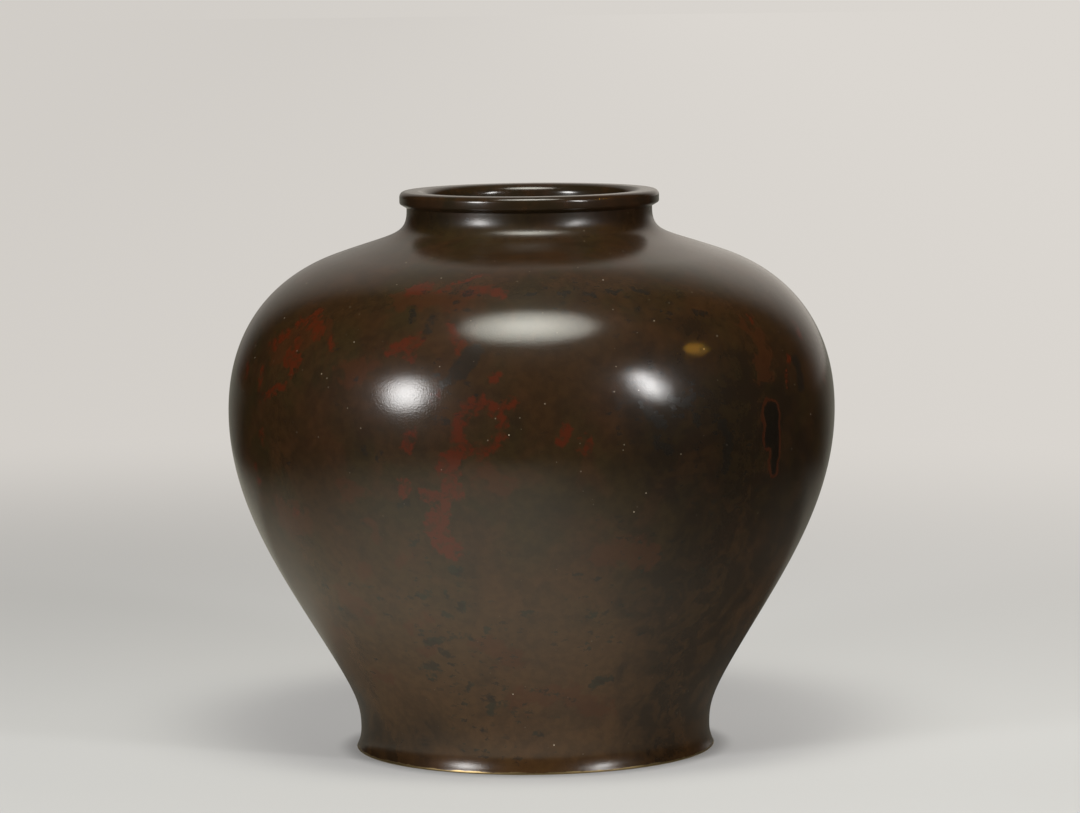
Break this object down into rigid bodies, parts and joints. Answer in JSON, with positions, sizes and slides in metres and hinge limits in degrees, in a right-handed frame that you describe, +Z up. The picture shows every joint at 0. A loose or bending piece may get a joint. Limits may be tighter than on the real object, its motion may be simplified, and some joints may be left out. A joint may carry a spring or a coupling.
{
  "type": "baluster vase",
  "caption": "Round-bellied baluster flower vase in patinated cast bronze, with a small flared foot, low shoulder, short neck and broad flat mouth ring, open at the top.",
  "frame": {"origin": "centre of the foot's ring, on the plane that the vase stands on", "axes": "+Z up along the vase's axis of revolution, +Y away from the viewer of the picture, +X to that viewer's right"},
  "size_m": [0.25, 0.25, 0.2304],
  "materials": {
    "patinated_bronze": "smooth cast bronze with a wax-rubbed mottled brown patina, red clouds and dark flecks, semi-gloss",
    "ring_bronze": "turned cast bronze with an even dark brown patina, semi-gloss",
    "braze": "dulled brass-coloured braze, as it flowed",
    "base_bronze": "turned bronze with a thin dull brown patina",
    "solder": "dull grey soft solder, wiped smooth"
  },
  "bodies": {
    "root": {"vase_body": "patinated_bronze", "mouth_ring": "ring_bronze", "mouth_braze": "braze", "base_plate": "base_bronze", "base_solder": "solder"}
  },
  "joints": []
}
